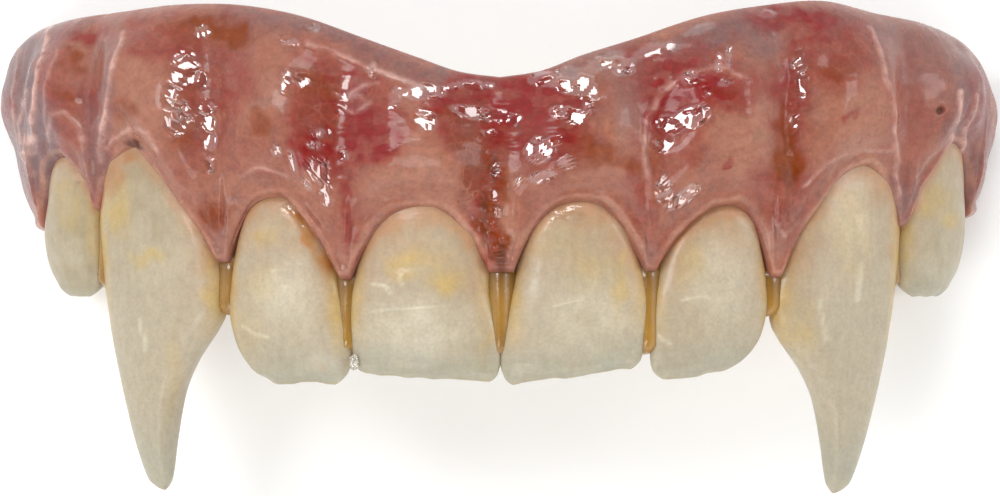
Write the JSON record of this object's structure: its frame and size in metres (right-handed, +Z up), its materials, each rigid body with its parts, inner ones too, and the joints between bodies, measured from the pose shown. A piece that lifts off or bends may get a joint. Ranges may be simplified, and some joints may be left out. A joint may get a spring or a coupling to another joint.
{
  "type": "fang denture",
  "caption": "Costume denture of upper front teeth with long fangs: a pink gum flange with a scalloped edge, ivory teeth and an amber inner tray that goes over the wearer's own teeth.",
  "frame": {"origin": "On the table, under the middle of the denture's bounding box. The denture lies face up on the two cut ends of its arch.", "axes": "+X across the mouth, to the right as seen from the front. +Y up the front of the denture, from the fang tips to the gum's top border. +Z up from the table, towards the fronts of the teeth."},
  "size_m": [0.0626, 0.0296, 0.0235],
  "materials": {
    "gum": "glossy translucent pink acrylic",
    "tooth": "glossy ivory acrylic",
    "resin": "glossy amber acrylic"
  },
  "bodies": {
    "root": {"gum_flange": "gum", "inner_tray": "resin", "premolar_left": "tooth", "fang_left": "tooth", "lateral_incisor_left": "tooth", "central_incisor_left": "tooth", "central_incisor_right": "tooth", "lateral_incisor_right": "tooth", "fang_right": "tooth", "premolar_right": "tooth"}
  },
  "joints": []
}
